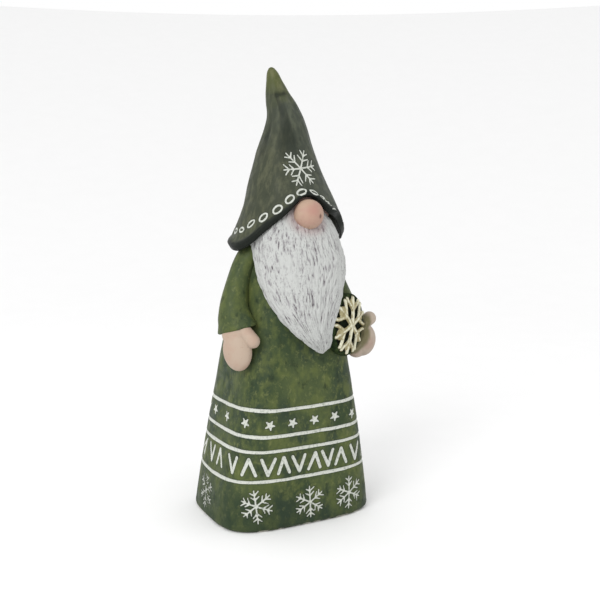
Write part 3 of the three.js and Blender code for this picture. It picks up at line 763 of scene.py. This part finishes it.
def hat_mesh():
    """The hat from its inner top down, round the brim and up to the bent tip."""
    angles = full_turn(HAT_COLUMNS)
    heights, insets, first_outer = hat_profile()
    rings = hat_rings(angles, heights, insets)
    z = rings[..., 2]
    degrees = np.degrees(angles)[None, :] + 0 * z
    edge = heights[:, None] - BRIM_BASE + 0 * z
    ink = hat_strokes(degrees, z)
    ink[:first_outer] = FAR

    round_the_hat = np.stack([np.radians(degrees) * 9, z, 0 * z], -1)
    folds = noise(round_the_hat, (3.0, 26, 1), 2.0)
    fold_zone = smooth(z, 196, 212) * (1 - smooth(z, 230, 240))
    crease_line = 235.2 + 1.2 * np.sin(np.radians(degrees) + 0.6) + 0.6 * noise(rings, 6)
    crease = bump_at(z, crease_line, 1.2) * smooth(degrees, -75, -30) * (1 - smooth(degrees, 5, 48))
    knuckle = bump_at(z, 231.5, 3.2) * bump_at(degrees, -80, 50)
    lumps = (0.3 * noise(rings, 16, 5.0) + 0.1 * noise(rings, 5, 2.0)) * smooth(edge, 0, 6)
    bends = 0.8 * folds * fold_zone - 0.7 * crease + 0.3 * knuckle
    rolled_edge = 0.3 * bump_at(edge, 4.0, 1.4) - 0.25 * bump_at(edge, 6.6, 0.9)
    amount = groove(ink, OVAL_DEPTH) + lumps + bends + rolled_edge
    amount = amount * (1 - smooth(z, HAT_TOP - 4, HAT_TOP))
    amount[:first_outer] = 0
    # painted shade for the paint, strongest in the crease and in the hollows between the folds
    fold_shade = np.clip(crease + 0.9 * fold_zone * smooth(-folds, 0.15, 0.6), 0, 1)
    fold_shade[:first_outer] = 0
    rings = push(rings, amount)
    last = rings[-1:]
    end = mix(last.mean(1, keepdims=True), last, 0.35) + [0, 0, 0.5]
    rings = np.concatenate([rings, end])
    fields = {"ink": ink, "worn": 0 * z, "fold_shade": fold_shade, "edge": edge}
    fields = {key: np.vstack([value, value[-1]]) for key, value in fields.items()}
    return ring_mesh("hat_casting", rings, False, fields)


# ---- beard
# (height, size or place) stations
BEARD_TIP, BEARD_TOP = 98, 178
BEARD_HALF_WIDTH = ((98, 1), (99.5, 3), (101, 4.8), (104, 7.5), (110, 11.7), (118, 17.2), (127, 21.8),
                    (137, 25), (147, 26), (156, 25.3), (162, 24), (168, 20.5), (178, 14))
BEARD_MIDDLE = ((98, 4), (99.5, 4.4), (104, 3), (110, 0.7), (118, -0.1), (127, 0), (137, 0.8), (147, 1.4),
                (156, 0.1), (178, 0.1))
BEARD_FRONT = ((98, -43), (99.5, -43.8), (104, -45.4), (112, -46), (127, -45.4), (147, -42.6), (160, -38.5),
               (170, -33.5), (178, -28))
BEARD_SIDE = ((98, -40.8), (99.5, -40.5), (110, -37), (127, -27), (147, -18.5), (160, -16), (178, -16))
BEARD_BACK = 5
# strands across the whole way round, their length, noise shift, height and share in the dry brushing
STRANDS = ((18, 16, 3.0, 0.3, 0.1), (76, 4, 9.0, 0.4, 0.75), (150, 1.9, 17.0, 0.26, 0.75))
NOSE_CENTRE = np.array((0.2, -34, 172.1))
NOSE_RADII = np.array((8.1, 7.7, 8))
NOSE_BLUSH = (-0.12, -0.95, 0.28)   # directions from the nose's middle
NOSE_SPECK = (0.42, -0.9, -0.12)


def beard_mesh():
    """The beard from its tip up, with strands on all but its back."""
    front = np.linspace(-105, 105, 330)
    back = np.linspace(105, 255, 22)[1:-1]
    angles = np.radians(np.concatenate([front, back]))
    rounding = BEARD_TIP + np.array([0, 0.15, 0.4, 0.7])
    z = np.concatenate([rounding, np.arange(BEARD_TIP + 1, BEARD_TOP, 0.31), [BEARD_TOP]])[:, None]
    wide, side = through(BEARD_HALF_WIDTH, z), through(BEARD_SIDE, z)
    forward = np.where(np.cos(angles) > 0, side - through(BEARD_FRONT, z), BEARD_BACK)
    reach = outline_reach(angles[None, :], wide, forward, 2.2)
    rings = np.stack([through(BEARD_MIDDLE, z) + reach * np.sin(angles), side - reach * np.cos(angles),
                      z + 0 * reach], -1)
    height = rings[..., 2]
    across = (angles / np.pi)[None, :] + 0 * height
    drift = 0.02 * noise(rings, (9, 9, 16), 4.0) + 0.008 * noise(rings, (4, 4, 7), 8.0)

    def strands(count, length, shift):
        """Ridges that run down the beard, breaking up and starting again."""
        lane = (across + drift) * count
        sheet = np.stack([lane, height / length, 0 * height], -1)
        return noise(sheet, 1, shift)

    layers = [(strands(*layout), depth, share) for *layout, depth, share in STRANDS]
    relief = sum(depth * layer for layer, depth, share in layers)
    brushed = sum(share * layer for layer, depth, share in layers)
    facing = smooth(np.abs(np.degrees(angles)), 125, 95)[None, :]
    ends = smooth(height, BEARD_TIP, BEARD_TIP + 4) * (1 - smooth(height, BEARD_TOP - 4, BEARD_TOP))
    rings = push(rings, relief * facing * ends)
    frayed = smooth(height, BEARD_TIP + 14, BEARD_TIP + 2)
    rings[..., 0] += 0.5 * frayed * noise(rings, (1.2, 1.2, 5), 6.0)
    radii_away = np.linalg.norm((rings - NOSE_CENTRE) / NOSE_RADII, axis=-1)
    fields = {"strand": 0.5 + 0.5 * brushed, "near_nose": smooth(radii_away, 1.85, 1.1)}
    return ring_mesh("beard_casting", rings, False, fields)


def nose_mesh():
    """A slightly lumpy ball, a little smaller towards its top."""
    around, levels = 72, 48
    angle = full_turn(around)
    polar = np.linspace(np.pi, 0, levels + 2)[1:-1, None]
    ball = np.stack([np.sin(polar) * np.sin(angle), -np.sin(polar) * np.cos(angle),
                     np.cos(polar) + 0 * angle], -1)
    swell = 1 - 0.03 * ball[..., 2] + 0.012 * noise(ball, 0.6)
    rings = NOSE_CENTRE + ball * NOSE_RADII * swell[..., None]
    blush = bump_at(np.linalg.norm(ball - NOSE_BLUSH, axis=-1), 0, 0.55)
    speck = smooth(np.linalg.norm((ball - NOSE_SPECK) * [1, 1, 0.6], axis=-1), 0.13, 0.06)
    return ring_mesh("nose_casting", rings, False, {"blush": blush, "speck": speck})


# ---- arms
def unit(*vector):
    return np.array(vector) / np.linalg.norm(vector)


# the directions across each sleeve, its route from shoulder to cuff and its half sizes along it
RIGHT_SLEEVE = {
    "long": unit(0.42, -0.89, 0.3), "side": unit(-0.89, -0.42, -0.04),
    "route": ((-15, -7.5, 157.5), (-21, -8.5, 153), (-30.4, -9.7, 134), (-35.1, -14, 120),
              (-34.9, -17.8, 111)),
    "half_long": (5, 8.6, 7.5, 8.5, 12.3), "half_side": (4, 7.6, 8, 8.3, 8.3),
}
LEFT_SLEEVE = {
    "long": unit(-0.3, -0.94, 0.16), "side": unit(0.94, -0.3, -0.14),
    "route": ((16, -7.5, 157.5), (22, -8.5, 153), (27.4, -11, 133), (32.6, -15, 119), (35.5, -19.5, 109.5)),
    "half_long": (5, 9.2, 10.6, 11.8, 12), "half_side": (4, 7.6, 8, 7.8, 7.4),
}


def sleeve_mesh(name, sleeve, shift):
    """A flattened sleeve along its route, closed at the shoulder and hollowed a little at the cuff."""
    route = np.array(sleeve["route"])
    knots = np.insert(np.cumsum(np.sqrt(np.linalg.norm(np.diff(route, axis=0), axis=1))), 0, 0)
    even = np.linspace(0, 1, len(route))
    closing = (0.15, 0.5, 0.8, 0.95)
    t = np.concatenate([np.zeros(len(closing)), np.linspace(1, 0, 110)[::-1]])
    where = np.interp(t, even, knots)
    centre = np.stack([through(list(zip(knots, route[:, k])), where) for k in range(3)], -1)
    half_long = through(list(zip(even, sleeve["half_long"])), t)
    half_side = through(list(zip(even, sleeve["half_side"])), t)
    angles = full_turn(120)
    scales = np.ones(len(t))
    scales[:len(closing)] = closing

    def ring(middle, a, b, scale):
        return (middle + np.sin(angles)[:, None] * a * scale * sleeve["long"]
                + np.cos(angles)[:, None] * b * scale * sleeve["side"])

    rings = [ring(*values) for values in zip(centre, half_long, half_side, scales)]
    down = unit(*(centre[-1] - centre[-4]))
    lip = 1.2
    cuff = [(lip * math.sin(turn), 1 - lip * (1 - math.cos(turn)) / half_side[-1])
            for turn in np.radians((30, 60, 90))]
    for drop, scale in (*cuff, (-0.2, 0.8), (-2.4, 0.76)):
        rings.append(ring(centre[-1] + down * drop, half_long[-1], half_side[-1], scale))
    rings = np.array(rings)
    lumps = 0.35 * noise(rings, (9, 9, 14), shift) + 0.1 * noise(rings, 4, shift)
    lumps[:len(closing)] = 0
    lumps[len(t):] = 0
    outward = np.sign(np.dot(np.cross(sleeve["side"], sleeve["long"]), down))
    rings = push(rings, outward * lumps)
    blank = np.full(lumps.shape, FAR)
    return ring_mesh(name, rings, False, {"ink": blank, "worn": 0 * blank})


def upright_frame(centre, across):
    """Frame of a flat piece held upright: x across it, y back from its outer face, z up."""
    across, up = unit(*across), (0, 0, 1)
    columns = np.stack([across, np.cross(up, across), up, centre], -1)
    return Matrix([*columns.tolist(), (0, 0, 0, 1)])


def thumb(start, end, radius):
    start, end = np.array(start, float), np.array(end, float)
    return [(mix(start, end, t), radius, 0) for t in np.linspace(0, 1, 8)]


RIGHT_HAND_CENTRE = (-37, -22, 100.4)
RIGHT_HAND_ACROSS = (0.66, -0.75, 0)
DISC_CENTRE = (26.0, -32.3, 110.1)
DISC_TURN = math.radians(30)
DISC_RADIUS = 17.5
DISC_RIM = 4   # thickness at the rim
DISC_ROUNDING = 0.9
DISC_DOME = 2   # how far the middle of the face stands out
GILT_REACH = DISC_RADIUS - 2.1
GILT_TURN = 12.5
DISC_FRAME = upright_frame(DISC_CENTRE, (math.cos(DISC_TURN), math.sin(DISC_TURN), 0))


def beside_medallion(mesh):
    """Cuts away what would stand inside the medallion or in front of it."""
    ahead, gap = 16, 0.3
    angles = full_turn(160)
    radius = DISC_RADIUS + gap
    rings = np.array([[(radius * math.sin(a), y, radius * math.cos(a)) for a in angles]
                      for y in (-ahead, DISC_RIM + gap)])
    room = ring_mesh("medallion_room", rings)
    room.transform(DISC_FRAME)
    return cut_away(mesh, room)


def right_hand_mesh():
    """A mitten that hangs down, thumb forward."""
    palm = (0.6, 0, -0.6), (8.3, 5.4, 11.3), -6
    heel = (-0.3, 0.8, 8), (8.5, 4.6, 8), 0
    blobs = [palm, heel, *thumb((5.2, 0, 9.8), (9.9, -0.4, 5.1), 3.8)]
    mesh = fused_mesh("right_mitten", blobs, 0.4, 6)
    mesh.transform(upright_frame(RIGHT_HAND_CENTRE, RIGHT_HAND_ACROSS))
    return mesh


def left_hand_mesh():
    """A mitten behind the medallion's edge, darkened with green paint and painted shade where they meet."""
    palm = (16.8, 3.6, -11.9), (12.2, 5.2, 10), 22
    heel = (21.8, 2.4, -12.2), (8.8, 7.1, 9.5), 16
    blobs = [palm, heel, *thumb((18, 2.4, -3.6), (24.2, -0.4, 0.2), 4)]
    mesh = fused_mesh("left_mitten", blobs, 0.4, 7)
    mesh.transform(DISC_FRAME)
    mesh = beside_medallion(mesh)
    away = np.linalg.norm(mesh_points(mesh) - DISC_CENTRE, axis=-1)
    # olive paint and painted shade on the hand next to the medallion
    set_field(mesh, "stain_and_shade", smooth(away, DISC_RADIUS + 6.5, DISC_RADIUS + 2))
    return mesh


# ---- medallion
def dome_rise(distance):
    """How far the medallion's face stands out at a distance from its middle."""
    return DISC_DOME * (1 - (distance / DISC_RADIUS) ** 2)


def medallion_mesh():
    """A domed disc with a rounded rim, in its own frame and then placed."""
    angles = full_turn(160)
    turn = np.linspace(0, np.pi / 2, 5)
    shorter, longer = (DISC_ROUNDING * (1 - part) for part in (np.cos(turn), np.sin(turn)))
    flat = [(r, DISC_RIM) for r in (0.4, 5, 10, 15)]
    back = np.stack([DISC_RADIUS - longer, DISC_RIM - shorter], -1)
    edge = np.stack([DISC_RADIUS - shorter, longer - 0.15], -1)
    face = [(r, -dome_rise(r)) for r in np.linspace(DISC_RADIUS - DISC_ROUNDING - 0.6, 0.4, 30)]
    radius, depth = np.concatenate([flat, back, edge, face]).T
    rings = np.stack([radius[:, None] * np.sin(angles), depth[:, None] + 0 * angles,
                      radius[:, None] * np.cos(angles)], -1)
    ripple = 0.18 * noise(rings, 3.5) * smooth(radius, 18, 15)[:, None]
    rings[..., 1] += ripple * (depth[:, None] < 0)
    rim = smooth(radius, 14.4, 15.8)[:, None] + 0 * angles
    mesh = ring_mesh("medallion_plate", rings, False, {"rim": rim})
    mesh.transform(DISC_FRAME)
    return mesh


def gilt_beads():
    """A flat snowflake: six stems from a hub, each opening into a low web with three prongs."""
    blobs = []

    def bead(angle, distance, radius, rise):
        x, z = on_circle(math.radians(angle), distance)
        blobs.append(((x, 0, z), (radius, rise, radius), 0))

    for k in range(12):
        bead(30 * k, 1.5, 2.0, 1.0)
    for arm in range(6):
        middle = GILT_TURN + 60 * arm + DRAW.normal(0, 1.5)
        fork = 0.54 if arm % 3 == 0 else 0.48
        length = GILT_REACH * DRAW.uniform(0.97, 1.02)
        for t in np.linspace(0, 1, 20):
            ridge = mix(1.4, 1.05, smooth(t, 0, 0.4)) + 0.1 * t
            bead(middle, mix(1, length, t), ridge, 1.4 - 0.25 * bump_at(t, 0.7, 0.15))
        for t in np.linspace(0, 1, 12):
            bead(middle, t * fork * GILT_REACH, 1.6, 0.8)
        for t in np.linspace(0, 1, 6):
            bead(middle, mix(fork, 0.76, t) * GILT_REACH, mix(1.7, 3.4, t), 0.75)
        for side in (-1, 1):
            bend = DRAW.uniform(22, 27)
            for t in np.linspace(0, 1, 18):
                spread = bend * math.sin(t * math.pi / 2) ** 0.9
                away = mix(fork, 1, t) * GILT_REACH
                bead(middle + side * spread, away, mix(1.25, 1.1, t), mix(1.1, 1.4, t))
    return blobs


def gilt_mesh():
    """The snowflake's relief, laid over the medallion's dome."""
    mesh = fused_mesh("medallion_gilding", gilt_beads(), 0.22, 2)
    points = mesh_points(mesh)
    facing = np.zeros(points.size)
    mesh.vertex_normals.foreach_get("vector", facing)
    facing = facing.reshape(-1, 3)
    rise = -points[:, 1]
    # painted highlight: flanks that face up and to the left are marked for the pale yellow
    painted_highlight = 0.3 * facing[:, 2] - 0.85 * facing[:, 0]
    set_field(mesh, "crest_and_highlight", 0.45 * smooth(rise, 0.7, 1.3) + 0.75 * painted_highlight + 0.2)
    set_field(mesh, "foot", smooth(rise, 0.5, 0.0))
    distance = np.hypot(points[:, 0], points[:, 2])
    points[:, 1] -= dome_rise(np.minimum(distance, DISC_RADIUS)) + 0.25
    mesh.vertices.foreach_set("co", points.ravel())
    mesh.update()
    mesh.transform(DISC_FRAME)
    return mesh


# ---- the pieces
green = robe_paint()
add_piece(robe_mesh(), "robe_shell", green)
add_piece(hat_mesh(), "hat_shell", hat_paint())
add_piece(beard_mesh(), "beard", beard_paint())
add_piece(nose_mesh(), "nose", nose_paint())
add_piece(sleeve_mesh("right_sleeve_casting", RIGHT_SLEEVE, 3.0), "right_sleeve", green)
left_sleeve = beside_medallion(sleeve_mesh("left_sleeve_casting", LEFT_SLEEVE, 7.0))
add_piece(left_sleeve, "left_sleeve", green)
add_piece(right_hand_mesh(), "right_hand",
          hand_paint("right_hand_flesh", shown(206, 184, 164), shown(204, 176, 156), shown(150, 140, 110)))
add_piece(left_hand_mesh(), "left_hand",
          hand_paint("left_hand_flesh", shown(200, 184, 166), shown(192, 168, 152), shown(118, 112, 74)))
add_piece(medallion_mesh(), "medallion_disc", plate_paint())
add_piece(gilt_mesh(), "medallion_snowflake", gilt_paint())


def repaint(node, material):
    """Gives a CAD node that stays in view its finish."""
    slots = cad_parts[node].data.materials
    slots.clear()
    slots.append(material)


repaint("head_core", plain_paint("head_flesh", shown(190, 150, 138), shown(214, 190, 178), 5))
repaint("base_plate", plain_paint("base_green", shown(52, 60, 40), shown(74, 84, 54), 6))


# ---- floor, light and camera
def make_floor():
    """A pale floor that rises slowly far from the object, so that it has no horizon."""
    angles = full_turn(96)
    radius = np.concatenate([np.linspace(0.05, 0.7, 6), np.linspace(0.8, 3.4, 40)])[:, None]
    height = 0.85 * smooth(radius, 0.7, 3.6)
    rings = np.stack([radius * np.sin(angles), radius * np.cos(angles), height + 0 * angles], -1)
    count, around = rings.shape[:2]
    middle = list(range(around))[::-1]
    mesh = bpy.data.meshes.new("floor")
    mesh.from_pydata(rings.reshape(-1, 3).tolist(), [], [*band_faces(count, around).tolist(), middle])
    mesh.polygons.foreach_set("use_smooth", [True] * len(mesh.polygons))
    p = Paint("floor_white", 0.9, 0.1)
    mesh.materials.append(p.done(p.blend(p.noise(40, 2), (0.9, 0.9, 0.9, 1), (0.92, 0.92, 0.92, 1))))
    in_scene("floor", mesh)


def add_area(name, direction, distance, size, power):
    """A round light that faces the object from a direction."""
    data = bpy.data.lights.new(name, "AREA")
    data.shape = "DISK"
    data.size = size
    data.energy = power
    away = Vector(direction).normalized()
    light = in_scene(name, data)
    light.location = LIGHT_TARGET + away * distance
    light.rotation_euler = (-away).to_track_quat("-Z", "Y").to_euler()


LIGHT_TARGET = Vector((0, 0, 0.12))
CAMERA_TARGET = Vector((0.01002, -0.00522, 0.12146))
CAMERA_AZIMUTH = math.radians(-27.5)
CAMERA_ELEVATION = math.radians(8.65)
CAMERA_DISTANCE = 0.5
CAMERA_LENS = 52.43


def make_camera():
    """Azimuth is counted from the front, towards the figure's left."""
    level = math.cos(CAMERA_ELEVATION)
    away = Vector((math.sin(CAMERA_AZIMUTH) * level, -math.cos(CAMERA_AZIMUTH) * level,
                   math.sin(CAMERA_ELEVATION)))
    data = bpy.data.cameras.new("camera")
    data.lens = CAMERA_LENS
    data.clip_start = 0.01
    camera = in_scene("camera", data)
    camera.location = CAMERA_TARGET + away * CAMERA_DISTANCE
    camera.rotation_euler = (-away).to_track_quat("-Z", "Y").to_euler()
    bpy.context.scene.camera = camera


def make_world(strength):
    world = bpy.data.worlds.new("studio")
    world.use_nodes = True
    background = world.node_tree.nodes["Background"].inputs
    background["Color"].default_value = (1, 1, 1, 1)
    background["Strength"].default_value = strength
    bpy.context.scene.world = world


make_floor()
make_world(1.0)
add_area("key", (-1.2, -0.8, 0.9), 1.3, 0.7, 7)
add_area("fill", (0.9, -1.1, 0.5), 1.4, 1.0, 1)
make_camera()
bpy.context.scene.view_settings.view_transform = "Standard"
